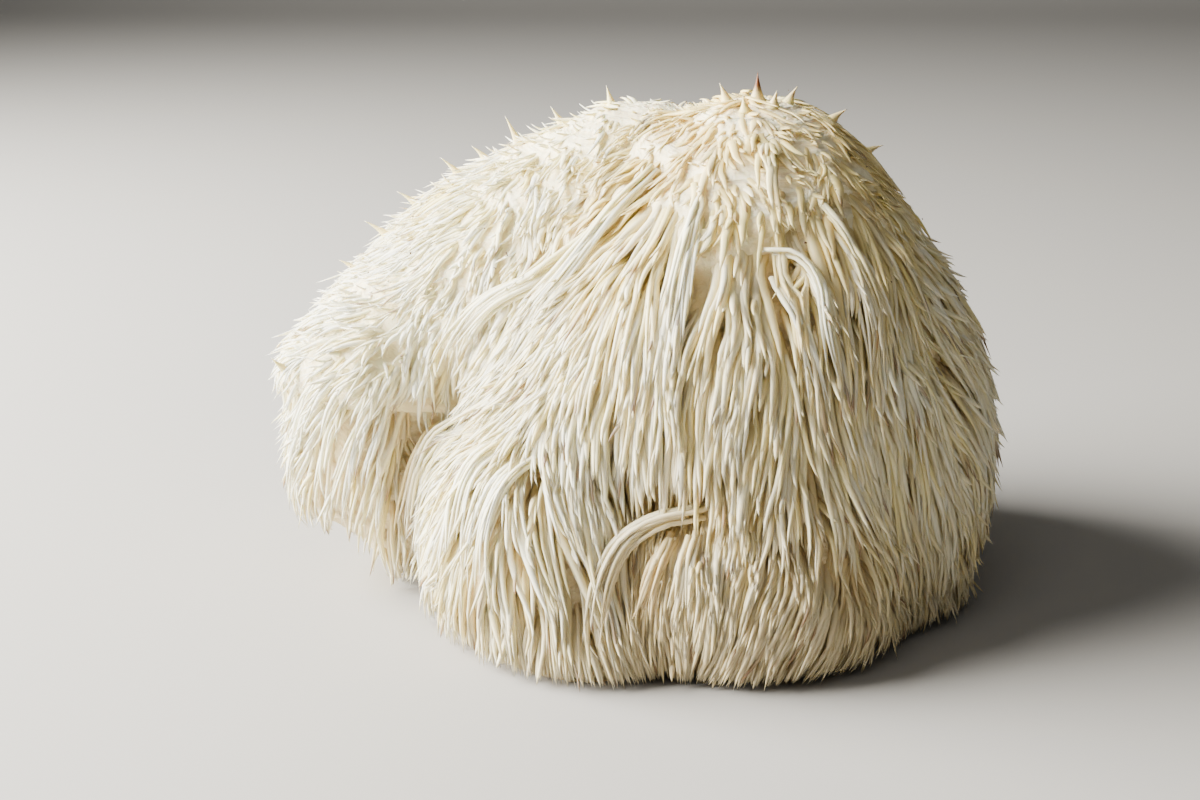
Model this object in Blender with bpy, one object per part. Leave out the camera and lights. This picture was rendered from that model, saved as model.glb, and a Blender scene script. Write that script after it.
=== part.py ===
"""Lion's mane mushroom: one fruiting body, cut off flat where it grew on wood.

The body is a heap of rounded lobes fused into one solid.  Its outer face is where the tips of
the hanging spines reach, so it is the outline that the real mushroom shows.  Metres, +Z up,
front towards -Y, with the origin under the middle of the body, on the cut face.
"""
import math
from dataclasses import dataclass

import bmesh
import bpy
from mathutils import Euler, Matrix, Vector

# Driving dimensions, in metres.
OVERALL_WIDTH = 0.192        # left edge of the side shelf to the right flank
VOXEL = 0.0026               # grid on which the lobes are fused
SMOOTH_PASSES = 22           # rounds the creases where two lobes meet
SMOOTH_FACTOR = 0.5
KEPT_FACES = 0.20            # share of the fused faces that the solid keeps
CUTTER_DEPTH = 0.060         # depth of the block that takes the underside off
CUTTER_MARGIN = 0.030        # how far that block reaches past the body all round
LOBE_SUBDIVISIONS = 4        # roundness of each lobe before they are fused

FLESH_COLOUR = (0.76, 0.69, 0.55, 1.0)
FLESH_ROUGHNESS = 0.62


@dataclass(frozen=True)
class Lobe:
    """One rounded lobe: its centre and half sizes in shares of the overall width."""

    name: str
    centre: tuple
    half_size: tuple
    droop_deg: float = 0.0   # tilt about Y; a negative angle lowers the left end


# Shares of the overall width, measured from the middle of the cut face.
LOBES = (
    Lobe("crown", (0.118, 0.004, 0.231), (0.375, 0.332, 0.401)),
    Lobe("cone", (0.139, -0.001, 0.458), (0.232, 0.222, 0.219)),
    Lobe("summit", (0.154, -0.006, 0.578), (0.128, 0.133, 0.120)),
    Lobe("rear_ridge", (-0.132, 0.098, 0.393), (0.338, 0.232, 0.227), -27.0),
    Lobe("left_shelf", (-0.366, 0.015, 0.234), (0.128, 0.160, 0.205)),
    Lobe("left_curl", (-0.449, -0.006, 0.307), (0.062, 0.080, 0.056)),
    Lobe("left_fringe", (-0.421, -0.006, 0.151), (0.078, 0.098, 0.092)),
    Lobe("left_tuft", (-0.332, -0.016, 0.089), (0.075, 0.108, 0.115)),
    Lobe("front_left", (-0.106, -0.152, 0.104), (0.193, 0.203, 0.234)),
    Lobe("front_skirt", (0.123, -0.188, 0.089), (0.224, 0.198, 0.203)),
    Lobe("right_foot", (0.321, -0.100, 0.078), (0.146, 0.130, 0.182)),
    Lobe("right_flank", (0.347, -0.011, 0.208), (0.161, 0.224, 0.255)),
    Lobe("back_right", (0.199, 0.182, 0.229), (0.234, 0.182, 0.255)),
    Lobe("back_left", (-0.114, 0.213, 0.198), (0.234, 0.172, 0.234)),
)


def clear_scene() -> None:
    """Remove every object that is already in the scene."""
    for old in list(bpy.data.objects):
        bpy.data.objects.remove(old, do_unlink=True)


def flesh_material() -> bpy.types.Material:
    """Cream flesh of the fresh mushroom."""
    material = bpy.data.materials.new("mushroom_flesh")
    material.use_nodes = True
    shader = material.node_tree.nodes["Principled BSDF"]
    shader.inputs["Base Color"].default_value = FLESH_COLOUR
    shader.inputs["Roughness"].default_value = FLESH_ROUGHNESS
    shader.inputs["Metallic"].default_value = 0.0
    return material


def lobe_matrix(lobe: Lobe) -> Matrix:
    """Place, tilt and stretch that turn a unit ball into the lobe."""
    place = Matrix.Translation(Vector(lobe.centre) * OVERALL_WIDTH)
    tilt = Euler((0.0, math.radians(lobe.droop_deg), 0.0)).to_matrix().to_4x4()
    stretch = Matrix.Diagonal((*(OVERALL_WIDTH * half for half in lobe.half_size), 1.0))
    return place @ tilt @ stretch


def heap_of_lobes() -> bpy.types.Object:
    """All the lobes as overlapping balls in one mesh, not yet fused."""
    shape = bmesh.new()
    for lobe in LOBES:
        bmesh.ops.create_icosphere(shape, subdivisions=LOBE_SUBDIVISIONS, radius=1.0,
                                   matrix=lobe_matrix(lobe))
    mesh = bpy.data.meshes.new("lobes")
    shape.to_mesh(mesh)
    shape.free()
    heap = bpy.data.objects.new("fruiting_body", mesh)
    bpy.context.collection.objects.link(heap)
    return heap


def fuse(heap: bpy.types.Object) -> None:
    """Fuse the lobes into one skin, round its creases and thin its faces."""
    remesh = heap.modifiers.new("fuse", "REMESH")
    remesh.mode = "VOXEL"
    remesh.voxel_size = VOXEL
    smooth = heap.modifiers.new("round_creases", "SMOOTH")
    smooth.factor = SMOOTH_FACTOR
    smooth.iterations = SMOOTH_PASSES
    thin = heap.modifiers.new("thin_faces", "DECIMATE")
    thin.ratio = KEPT_FACES
    graph = bpy.context.evaluated_depsgraph_get()
    fused = bpy.data.meshes.new_from_object(heap.evaluated_get(graph))
    heap.modifiers.clear()
    heap.data = fused


def centre_on_origin(body: bpy.types.Object) -> None:
    """Slide the mesh in X and Y until its box is centred on the origin."""
    xs = [vertex.co.x for vertex in body.data.vertices if vertex.co.z > 0.0]
    ys = [vertex.co.y for vertex in body.data.vertices if vertex.co.z > 0.0]
    shift = Vector((-(min(xs) + max(xs)) / 2.0, -(min(ys) + max(ys)) / 2.0, 0.0))
    body.data.transform(Matrix.Translation(shift))


def cut_base_flat(body: bpy.types.Object) -> None:
    """Cut away everything below z = 0, which leaves the flat face it stands on."""
    reach = OVERALL_WIDTH + 2.0 * CUTTER_MARGIN
    block = bmesh.new()
    size = Matrix.Diagonal((reach, reach, CUTTER_DEPTH, 1.0))
    sink = Matrix.Translation((0.0, 0.0, -CUTTER_DEPTH / 2.0))
    bmesh.ops.create_cube(block, size=1.0, matrix=sink @ size)
    mesh = bpy.data.meshes.new("base_cutter")
    block.to_mesh(mesh)
    block.free()
    cutter = bpy.data.objects.new("base_cutter", mesh)
    cutter.hide_render = True
    cutter.display_type = "WIRE"
    bpy.context.collection.objects.link(cutter)
    cut = body.modifiers.new("flat_cut", "BOOLEAN")
    cut.operation = "DIFFERENCE"
    cut.solver = "EXACT"
    cut.object = cutter


def main() -> None:
    """Build the fruiting body."""
    clear_scene()
    body = heap_of_lobes()
    fuse(body)
    centre_on_origin(body)
    body.data.materials.clear()
    body.data.materials.append(flesh_material())
    body.data.shade_smooth()
    cut_base_flat(body)


main()
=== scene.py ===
"""Looks of a lion's mane mushroom: lobed flesh under thousands of hanging spines.

The fruiting body of the frame is one plain solid that reaches to the tips of the spines.  Here
it is replaced by the flesh itself, drawn in under that outline, and by every spine as a tapered
tube that leaves the flesh, bends down and hangs along the outline in ragged tiers.
"""
import logging
import math
from dataclasses import dataclass
from enum import Enum

import bpy
import numpy as np
from mathutils import Matrix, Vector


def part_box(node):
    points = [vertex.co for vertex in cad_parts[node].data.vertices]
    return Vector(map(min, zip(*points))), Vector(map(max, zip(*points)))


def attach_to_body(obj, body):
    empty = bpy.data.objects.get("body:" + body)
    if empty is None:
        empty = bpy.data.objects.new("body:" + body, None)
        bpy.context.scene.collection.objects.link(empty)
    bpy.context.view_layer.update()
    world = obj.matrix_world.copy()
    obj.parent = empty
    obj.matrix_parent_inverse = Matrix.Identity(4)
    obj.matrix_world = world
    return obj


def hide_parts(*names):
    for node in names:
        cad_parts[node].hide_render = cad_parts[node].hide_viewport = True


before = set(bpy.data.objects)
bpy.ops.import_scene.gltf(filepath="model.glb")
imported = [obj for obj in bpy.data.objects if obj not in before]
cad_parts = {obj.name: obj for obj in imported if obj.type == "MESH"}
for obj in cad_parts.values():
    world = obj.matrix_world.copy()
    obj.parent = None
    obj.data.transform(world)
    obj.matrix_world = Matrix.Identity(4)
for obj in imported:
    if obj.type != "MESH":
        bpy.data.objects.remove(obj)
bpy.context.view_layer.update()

LOG = logging.getLogger("lions_mane")
NODE = "fruiting_body"
BODY = "root"
MM = 0.001

Triple = tuple[float, float, float]


# ---------------------------------------------------------------- the outline of the lobes


@dataclass(frozen=True)
class Lobe:
    """One rounded lobe, in shares of the overall width from the middle of the cut face."""

    name: str
    centre: Triple
    half_size: Triple
    droop_deg: float = 0.0


LOBES = (
    Lobe("crown", (0.112, 0.004, 0.226), (0.352, 0.322, 0.388)),
    Lobe("cone", (0.139, -0.001, 0.440), (0.222, 0.215, 0.210)),
    Lobe("summit", (0.154, -0.006, 0.560), (0.115, 0.125, 0.110)),
    Lobe("rear_ridge", (-0.132, 0.098, 0.380), (0.322, 0.225, 0.207), -28.5),
    Lobe("ridge_hump", (-0.005, 0.100, 0.500), (0.140, 0.125, 0.148)),
    Lobe("left_shelf", (-0.366, 0.015, 0.230), (0.118, 0.152, 0.192)),
    Lobe("left_curl", (-0.452, -0.006, 0.300), (0.048, 0.066, 0.040)),
    Lobe("left_fringe", (-0.421, -0.006, 0.150), (0.066, 0.090, 0.085)),
    Lobe("left_tuft", (-0.332, -0.016, 0.092), (0.066, 0.100, 0.105)),
    Lobe("front_left", (-0.106, -0.150, 0.104), (0.186, 0.196, 0.225)),
    Lobe("left_hem", (-0.065, -0.200, 0.010), (0.150, 0.172, 0.130)),
    Lobe("front_skirt", (0.128, -0.190, 0.079), (0.220, 0.196, 0.190)),
    Lobe("right_foot", (0.316, -0.098, 0.078), (0.136, 0.124, 0.172)),
    Lobe("right_flank", (0.328, -0.011, 0.196), (0.142, 0.216, 0.230)),
    Lobe("back_right", (0.199, 0.176, 0.226), (0.226, 0.178, 0.246)),
    Lobe("back_left", (-0.114, 0.206, 0.196), (0.226, 0.168, 0.226)),
)


class Envelope:
    """The smooth outline round all the lobes, as a signed distance that is negative inside.

    Each lobe's distance is k (k - 1) / m, where k is the length of the point divided by the
    half sizes and m the length of the point divided by their squares.  The lobes are joined by
    a soft minimum: minus the blend width times the log of the summed exponentials.
    """

    def __init__(self, middle: np.ndarray, width: float, blend: float) -> None:
        """Args:
            middle: middle of the cut face, in metres.
            width: overall width that the shares are of, in metres.
            blend: width of the soft joins between lobes, in metres.
        """
        self.middle = middle
        self.width = width
        self.blend = blend
        self.centres = [middle + width * np.array(lobe.centre) for lobe in LOBES]
        self.halves = [width * np.array(lobe.half_size) for lobe in LOBES]
        self.turns = [self._turn(lobe.droop_deg) for lobe in LOBES]

    @staticmethod
    def _turn(droop_deg: float) -> np.ndarray:
        """Rotation about Y by the droop."""
        c, s = math.cos(math.radians(droop_deg)), math.sin(math.radians(droop_deg))
        return np.array([[c, 0.0, s], [0.0, 1.0, 0.0], [-s, 0.0, c]])

    def place(self, share: Triple) -> np.ndarray:
        """Point at the given shares of the width from the middle of the cut face."""
        return self.middle + self.width * np.array(share)

    def distance(self, points: np.ndarray) -> np.ndarray:
        """Signed distance to the outline.

        Args:
            points: array of shape (..., 3), in metres.

        Returns:
            Array of shape (...), in metres.
        """
        apart = []
        for centre, half, turn in zip(self.centres, self.halves, self.turns):
            local = (points - centre) @ turn
            near = np.linalg.norm(local / half, axis=-1)
            slope = np.linalg.norm(local / half**2, axis=-1)
            apart.append(near * (near - 1.0) / np.maximum(slope, 1e-9))
        apart = np.stack(apart)
        least = apart.min(axis=0)
        return least - self.blend * np.log(np.exp((least - apart) / self.blend).sum(axis=0))

    def normal(self, points: np.ndarray) -> np.ndarray:
        """Outward normal, from four distances at the corners of a small tetrahedron."""
        corners = np.array([[1, -1, -1], [-1, -1, 1], [-1, 1, -1], [1, 1, 1]], float)
        step = 0.4 * MM
        slope = sum(c * self.distance(points + c * step)[..., None] for c in corners)
        return unit(slope)

    def settle(self, points: np.ndarray, depth: np.ndarray) -> np.ndarray:
        """Move points along their normals until they lie at the given depth under the outline."""
        for _ in range(3):
            gap = self.distance(points) + depth
            points = points - self.normal(points) * gap[..., None]
        return points


def unit(vectors: np.ndarray) -> np.ndarray:
    """Vectors scaled to length one."""
    return vectors / np.maximum(np.linalg.norm(vectors, axis=-1, keepdims=True), 1e-12)


def ramp(low: float, high: float, values: np.ndarray) -> np.ndarray:
    """Smooth step from 0 at low to 1 at high."""
    t = np.clip((values - low) / (high - low), 0.0, 1.0)
    return t * t * (3.0 - 2.0 * t)


class Noise:
    """Smooth random field: a sum of sine waves that run in random directions."""

    def __init__(self, seed: int, size: float, waves: int = 12) -> None:
        """Args:
            seed: seed of the random directions and phases.
            size: typical distance between one crest and the next, in metres.
            waves: how many waves are summed.
        """
        rng = np.random.default_rng(seed)
        lengths = size * rng.uniform(0.65, 1.7, (waves, 1))
        self.waves = unit(rng.normal(size=(waves, 3))) * math.tau / lengths
        self.phases = rng.uniform(0.0, math.tau, waves)
        self.gain = math.sqrt(2.0 / waves)

    def at(self, points: np.ndarray) -> np.ndarray:
        """Value at the points, mostly between -2 and 2, with a spread of about 1."""
        return self.gain * np.sin(points @ self.waves.T + self.phases).sum(axis=-1)


# ---------------------------------------------------------------- meshes


class MeshMaker:
    """Turns arrays of points and faces into finished pieces at the origin."""

    @staticmethod
    def piece(name: str, points: np.ndarray, corners: np.ndarray, sizes: np.ndarray,
              marks: dict[str, np.ndarray], uv: np.ndarray | None = None) -> bpy.types.Object:
        """Make one mesh object.

        Args:
            name: name of the piece.
            points: vertex places, shape (n, 3), in metres.
            corners: vertex number of each face corner, one face after the other.
            sizes: number of corners of each face.
            marks: named values, one for each vertex, that the finishes read.
            uv: place of each corner on the piece's own map, or None for no map.

        Returns:
            The object, linked into the scene.
        """
        mesh = bpy.data.meshes.new(name)
        mesh.vertices.add(len(points))
        mesh.vertices.foreach_set("co", points.astype(np.float32).ravel())
        mesh.loops.add(len(corners))
        mesh.loops.foreach_set("vertex_index", corners.astype(np.int32))
        mesh.polygons.add(len(sizes))
        starts = np.concatenate(([0], np.cumsum(sizes)[:-1]))
        mesh.polygons.foreach_set("loop_start", starts.astype(np.int32))
        mesh.update(calc_edges=True)
        mesh.polygons.foreach_set("use_smooth", np.ones(len(sizes), bool))
        for label, values in marks.items():
            layer = mesh.attributes.new(label, "FLOAT", "POINT")
            layer.data.foreach_set("value", values.astype(np.float32))
        if uv is not None:
            layer = mesh.uv_layers.new(name="OFBake")
            layer.uv.foreach_set("vector", uv.astype(np.float32).ravel())
        made = bpy.data.objects.new(name, mesh)
        bpy.context.collection.objects.link(made)
        return made


# ---------------------------------------------------------------- finishes


class Value:
    """A shader value, so that shader maths is written as plain arithmetic."""

    def __init__(self, sheet: "Sheet", socket: bpy.types.NodeSocket) -> None:
        """Args:
            sheet: node sheet that the value lives on.
            socket: output socket that carries it.
        """
        self.sheet = sheet
        self.socket = socket

    def _math(self, operation: str, *values: object) -> "Value":
        """One Math node."""
        inputs = dict(enumerate(values))
        return self.sheet.node("ShaderNodeMath", {"operation": operation}, inputs)[0]

    def __add__(self, other: object) -> "Value":
        """This plus other."""
        return self._math("ADD", self, other)

    def __radd__(self, other: object) -> "Value":
        """Other plus this."""
        return self._math("ADD", other, self)

    def __sub__(self, other: object) -> "Value":
        """This minus other."""
        return self._math("SUBTRACT", self, other)

    def __rsub__(self, other: object) -> "Value":
        """Other minus this."""
        return self._math("SUBTRACT", other, self)

    def __mul__(self, other: object) -> "Value":
        """This times other."""
        return self._math("MULTIPLY", self, other)

    def __rmul__(self, other: object) -> "Value":
        """Other times this."""
        return self._math("MULTIPLY", other, self)

    def __pow__(self, other: object) -> "Value":
        """This to the power other."""
        return self._math("POWER", self, other)

    def step(self, low: float, high: float) -> "Value":
        """Smooth step from 0 at low to 1 at high."""
        settings = {"interpolation_type": "SMOOTHSTEP"}
        inputs = {"Value": self, "From Min": low, "From Max": high}
        return self.sheet.node("ShaderNodeMapRange", settings, inputs)[0]


class Sheet:
    """The node sheet of one material, with its shader."""

    def __init__(self, name: str) -> None:
        """Args:
            name: name of the material.
        """
        self.material = bpy.data.materials.new(name)
        self.material.use_nodes = True
        self.nodes = self.material.node_tree.nodes
        self.links = self.material.node_tree.links
        self.shader = self.nodes["Principled BSDF"]

    def node(self, kind: str, settings: dict, inputs: dict) -> list[Value]:
        """Add a node, with its settings first and its inputs after them.

        Args:
            kind: type name of the node.
            settings: the node's own properties.
            inputs: numbers, colours or values, by socket name or number.

        Returns:
            The node's outputs that are in use, in order.
        """
        made = self.nodes.new(kind)
        for key, setting in settings.items():
            setattr(made, key, setting)
        for key, given in inputs.items():
            self.feed(made.inputs[key], given)
        return [Value(self, socket) for socket in made.outputs if socket.enabled]

    def feed(self, socket: bpy.types.NodeSocket, given: object) -> None:
        """Link a value to a socket, or set the socket to a constant."""
        if isinstance(given, Value):
            self.links.new(given.socket, socket)
        else:
            socket.default_value = given

    def mark(self, name: str) -> Value:
        """A named value of the mesh."""
        return self.node("ShaderNodeAttribute", {"attribute_name": name}, {})[2]

    def mix(self, share: object, first: object, second: object) -> Value:
        """Colour between first and second."""
        settings = {"data_type": "RGBA", "blend_type": "MIX"}
        made = self.nodes.new("ShaderNodeMix")
        for key, setting in settings.items():
            setattr(made, key, setting)
        colours = [socket for socket in made.inputs if socket.type == "RGBA"]
        self.feed(made.inputs[0], share)
        self.feed(colours[0], first)
        self.feed(colours[1], second)
        return Value(self, next(s for s in made.outputs if s.type == "RGBA"))

    def grain(self, scale: float, detail: float = 3.0) -> Value:
        """Noise over the object's own coordinates, from 0 to 1."""
        place = self.node("ShaderNodeTexCoord", {}, {})
        where = next(v for v in place if v.socket.name == "Object")
        return self.node("ShaderNodeTexNoise", {}, {"Vector": where, "Scale": scale,
                                                    "Detail": detail})[0]

    def bump(self, height: Value, strength: float, distance: float) -> Value:
        """Normal that follows a height."""
        inputs = {"Strength": strength, "Distance": distance, "Height": height}
        return self.node("ShaderNodeBump", {}, inputs)[0]

    def surface(self, **inputs: object) -> bpy.types.Material:
        """Set the shader's inputs, with _ for spaces, and hand over the material."""
        for key, given in inputs.items():
            self.feed(self.shader.inputs[key.replace("_", " ")], given)
        return self.material


def colour(red: float, green: float, blue: float) -> tuple[float, float, float, float]:
    """Linear colour from the 0-255 shades that a screen shows."""
    return (*(((c / 255 + 0.055) / 1.055) ** 2.4 for c in (red, green, blue)), 1.0)


@dataclass(frozen=True)
class SpineFinish:
    """Translucent ivory spines, honey coloured where they leave the flesh, with painted shade in the
    gaps between them, in the hollows and low down.
    """

    ivory: tuple = colour(252, 249, 226)
    cream: tuple = colour(246, 229, 158)
    honey: tuple = colour(208, 174, 108)
    gap_shade_tan: tuple = colour(206, 176, 124)
    dried: tuple = colour(104, 60, 26)
    # painted shade: the dull olive that spines are mixed towards near the ground and away from the
    # window
    painted_shade_olive: tuple = colour(198, 182, 144)
    roughness: float = 0.42
    scatter: float = 0.25
    scatter_depth: float = 1.6 * MM
    gap_shade_share: float = 0.6     # how far the painted shade in the gaps between spines covers the rest
    tip_from: float = 0.45       # where along the spine a dry tip begins to brown
    tip_full: float = 0.95       # where it is brown all through
    label: str = "spine_ivory"

    def material(self) -> bpy.types.Material:
        """Build the material from the marks tone, warmth, shade, deep, dryness and along; shade,
        deep and the hollows' share of warmth are painted shade.
        """
        sheet = Sheet(self.label)
        along = sheet.mark("along")
        # creamier towards the root: partly the spines' own colour, partly painted shade among the
        # roots
        base = sheet.mix(sheet.mark("tone") + 0.25 - along * 0.45, self.ivory, self.cream)
        base = sheet.mix(sheet.mark("warmth"), base, self.honey)
        # painted shade, low down and on the side away from the window
        base = sheet.mix(sheet.mark("shade"), base, self.painted_shade_olive)
        # painted shade: spine surfaces deep under the outline, in the gaps between spines, turn a
        # darker tan
        base = sheet.mix(sheet.mark("deep") * self.gap_shade_share, base, self.gap_shade_tan)
        tip = along.step(self.tip_from, self.tip_full) * sheet.mark("dryness")
        base = sheet.mix(tip, base, self.dried)
        fine = sheet.grain(900.0)
        return sheet.surface(
            Base_Color=base, Roughness=self.roughness,
            Normal=sheet.bump(fine, 0.25, 0.2 * MM),
            Subsurface_Weight=self.scatter, Subsurface_Radius=(1.0, 0.75, 0.40),
            Subsurface_Scale=self.scatter_depth, Specular_IOR_Level=0.35)


HORN_FINISH = SpineFinish(tip_from=0.10, tip_full=0.60, label="horn_brown")


@dataclass(frozen=True)
class DustFinish:
    """Crumbs of dark bark."""

    bark: tuple = colour(92, 70, 46)
    roughness: float = 0.9

    def material(self) -> bpy.types.Material:
        """Build the material."""
        return Sheet("bark_dust").surface(Base_Color=self.bark, Roughness=self.roughness)


@dataclass(frozen=True)
class FleshFinish:
    """Matted cream flesh with combed streaks, painted tan as shade where it lies deep or in the
    recesses, and spongy where it is cut.
    """

    cream: tuple = colour(250, 240, 204)
    gold: tuple = colour(240, 224, 180)
    # tan: painted shade of deep flesh, and the colour of the sponge on the cut face
    tan: tuple = colour(190, 158, 104)
    cut: tuple = colour(230, 214, 176)
    roughness: float = 0.85

    def material(self) -> bpy.types.Material:
        """Build the material from the marks depth, cut and the three of the comb; depth is painted
        shade.
        """
        sheet = Sheet("flesh_cream")
        depth, cut = sheet.mark("depth"), sheet.mark("cut")
        comb = sheet.node("ShaderNodeCombineXYZ", {}, {
            "X": sheet.mark("comb_x"), "Y": sheet.mark("comb_y"), "Z": sheet.mark("comb_z")})[0]
        streak = sheet.node("ShaderNodeTexNoise", {}, {"Vector": comb, "Scale": 420.0,
                                                       "Detail": 3.0})[0]
        base = sheet.mix(streak.step(0.62, 0.38) * 0.8, self.cream, self.gold)
        # painted shade: flesh that lies deep under the spines or in a hollow turns tan
        base = sheet.mix(depth, base, self.tan)
        sponge = sheet.grain(700.0, 2.0)
        base = sheet.mix(cut, base, sheet.mix(sponge.step(0.35, 0.7), self.tan, self.cut))
        height = streak * 1.6 + sheet.grain(500.0, 4.0) * 0.6 + cut * sponge
        return sheet.surface(
            Base_Color=base, Roughness=self.roughness,
            Normal=sheet.bump(height, 0.8, 1.0 * MM),
            Subsurface_Weight=0.18, Subsurface_Radius=(1.0, 0.7, 0.35),
            Subsurface_Scale=2.0 * MM, Specular_IOR_Level=0.3)


# ---------------------------------------------------------------- the grown shape


@dataclass(frozen=True)
class Comb:
    """A place where the spines are swept to one side, like hair under a comb."""

    seat: Triple
    reach: float
    sweep: Triple


@dataclass(frozen=True)
class Parting:
    """A gap that the spines pass round, where the flesh shows, painted tan as shade; sizes in shares
    of the width.
    """

    seat: Triple
    across: float
    along: float


@dataclass(frozen=True)
class Recess:
    """A hollow place where the spines lie deeper, with painted shade in it as a honey tint."""

    seat: Triple
    half_size: Triple
    depth: float
    # how much painted shade, as honey tint, the hollow gives its spines and flesh
    warmth: float


class Tier(Enum):
    """The three tiers of the coat, from the top down."""

    CROWN = 0
    CURTAIN = 1
    SKIRT = 2


@dataclass(frozen=True)
class Ledge:
    """The ragged lower edge of a tier, which overhangs the next one.

    Each point is (turn, level, step): degrees round the upright through the middle, 0 at the
    front and growing towards +X; height there in shares of the width; and how deep the next
    tier starts under this one, in millimetres.
    """

    points: tuple[Triple, ...]
    fade: float          # height over which the next tier comes out again


class Growth:
    """The rules by which every spine grows: where it hangs, how deep it starts, its colour."""

    HEM = Ledge(((-150, 0.44, 1.5), (-115, 0.29, 0.5), (-80, 0.265, 0.3), (-74, 0.29, 0.3),
                 (-68, 0.42, 1.5), (-57, 0.48, 2.5), (-42, 0.545, 2.5), (-28, 0.580, 2.0),
                 (-15, 0.550, 1.2), (0, 0.53, 1.2), (15, 0.525, 1.4), (45, 0.53, 1.5),
                 (80, 0.50, 1.5), (120, 0.46, 1.5), (165, 0.48, 1.5)), 12 * MM)
    EDGE = Ledge(((-150, 0.25, 3.0), (-115, 0.28, 1.0), (-82, 0.30, 0.8), (-72, 0.29, 4.0),
                  (-62, 0.285, 6.0), (-46, 0.295, 6.0), (-34, 0.28, 5.5), (-26, 0.25, 5.0),
                  (-20, 0.235, 5.0), (-10, 0.215, 5.0), (0, 0.22, 4.5), (8, 0.197, 4.5),
                  (17, 0.184, 4.0), (25, 0.160, 3.5), (31, 0.135, 3.5), (45, 0.10, 2.0),
                  (70, 0.09, 1.5), (100, 0.14, 2.5), (140, 0.21, 3.0), (178, 0.24, 3.0)),
                 12 * MM)
    COMBS = (
        Comb((-0.05, -0.30, 0.05), 0.16, (0.5, 0.0, 0.0)),
        Comb((0.18, -0.33, 0.05), 0.13, (-0.8, 0.0, 0.0)),
        Comb((-0.28, -0.20, 0.12), 0.12, (-0.4, 0.0, 0.0)),
        Comb((-0.40, -0.05, 0.40), 0.14, (-0.8, 0.0, 0.2)),
    )
    PARTINGS = (
        Parting((0.151, -0.238, 0.490), 0.009, 0.040),
        Parting((0.183, -0.234, 0.492), 0.013, 0.030),
        Parting((0.203, -0.259, 0.430), 0.007, 0.045),
        Parting((0.250, -0.334, 0.150), 0.010, 0.025),
        Parting((-0.043, -0.308, 0.225), 0.006, 0.020),
        Parting((-0.186, -0.207, 0.300), 0.010, 0.014),
        Parting((-0.120, -0.197, 0.394), 0.008, 0.012),
        Parting((-0.312, -0.115, 0.200), 0.007, 0.060),
    )
    # each recess: seat, half sizes, depth, and its painted shade as honey warmth
    RECESSES = (
        Recess((-0.012, -0.345, 0.150), (0.045, 0.060, 0.065), 2.5 * MM, 0.70),
        Recess((-0.314, -0.115, 0.262), (0.016, 0.040, 0.022), 4.0 * MM, 0.80),
        Recess((0.252, -0.330, 0.135), (0.022, 0.050, 0.035), 3.0 * MM, 0.40),
        Recess((-0.312, -0.115, 0.190), (0.016, 0.040, 0.090), 4.0 * MM, 0.60),
        Recess((0.165, -0.240, 0.480), (0.035, 0.040, 0.040), 2.0 * MM, 0.25),
        Recess((0.030, -0.340, 0.020), (0.050, 0.070, 0.050), 1.5 * MM, 0.35),
        Recess((0.057, -0.100, 0.625), (0.040, 0.060, 0.022), 2.5 * MM, 0.15),
        Recess((-0.005, -0.115, 0.585), (0.040, 0.060, 0.022), 3.5 * MM, 0.20),
        Recess((-0.065, -0.125, 0.540), (0.040, 0.060, 0.022), 3.5 * MM, 0.20),
        Recess((-0.135, -0.125, 0.485), (0.045, 0.060, 0.025), 3.0 * MM, 0.15),
        Recess((-0.222, -0.110, 0.425), (0.050, 0.060, 0.030), 2.5 * MM, 0.12),
    )

    def __init__(self, skin: Envelope, height: float) -> None:
        """Args:
            skin: outline that the tips reach.
            height: height of the mushroom, in metres; kept, but not used.
        """
        self.skin = skin
        self.height = height
        self.swirl = Noise(11, 46 * MM)
        self.ripple = Noise(12, 13 * MM)
        self.ragged = Noise(13, 30 * MM)
        self.tufts = Noise(14, 9 * MM)
        self.ridges = Noise(15, 8 * MM, 24)
        self.folds = Noise(16, 20 * MM, 24)
        self.gaps = [self._gap(parting) for parting in self.PARTINGS]

    def _gap(self, parting: Parting) -> tuple:
        """A parting's place on the outline, with its side and downward directions."""
        seat = self.skin.settle(self.skin.place(parting.seat)[None], np.zeros(1))
        normal = self.skin.normal(seat)
        down = self.flow(seat, normal)
        side = np.cross(normal, down)
        sizes = parting.across * self.skin.width, parting.along * self.skin.width
        return seat[0], side[0], down[0], sizes

    def edge(self, ledge: Ledge, points: np.ndarray) -> tuple[np.ndarray, np.ndarray]:
        """Height and step of a ledge at each point: linear between its points, made ragged."""
        out = points - self.skin.place((0.06, 0.0, 0.0))
        turn = np.degrees(np.arctan2(out[..., 0], -out[..., 1]))
        turns, levels, steps = np.array(ledge.points).T
        level = np.interp(turn, turns, levels, period=360.0)
        step = np.interp(turn, turns, steps, period=360.0) * MM
        ragged = 3.0 * MM * self.ragged.at(points) + 1.8 * MM * self.tufts.at(points)
        return self.skin.middle[2] + level * self.skin.width + ragged, step

    def below(self, ledge: Ledge, points: np.ndarray) -> np.ndarray:
        """How far each point lies below a ledge."""
        return self.edge(ledge, points)[0] - points[..., 2]

    def tier(self, points: np.ndarray) -> np.ndarray:
        """Number of the tier that is rooted at each point: it starts above its ledge."""
        upper = np.where(self.below(self.HEM, points) > -6 * MM, Tier.CURTAIN.value,
                         Tier.CROWN.value)
        return np.where(self.below(self.EDGE, points) > -9 * MM, Tier.SKIRT.value, upper)

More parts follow.
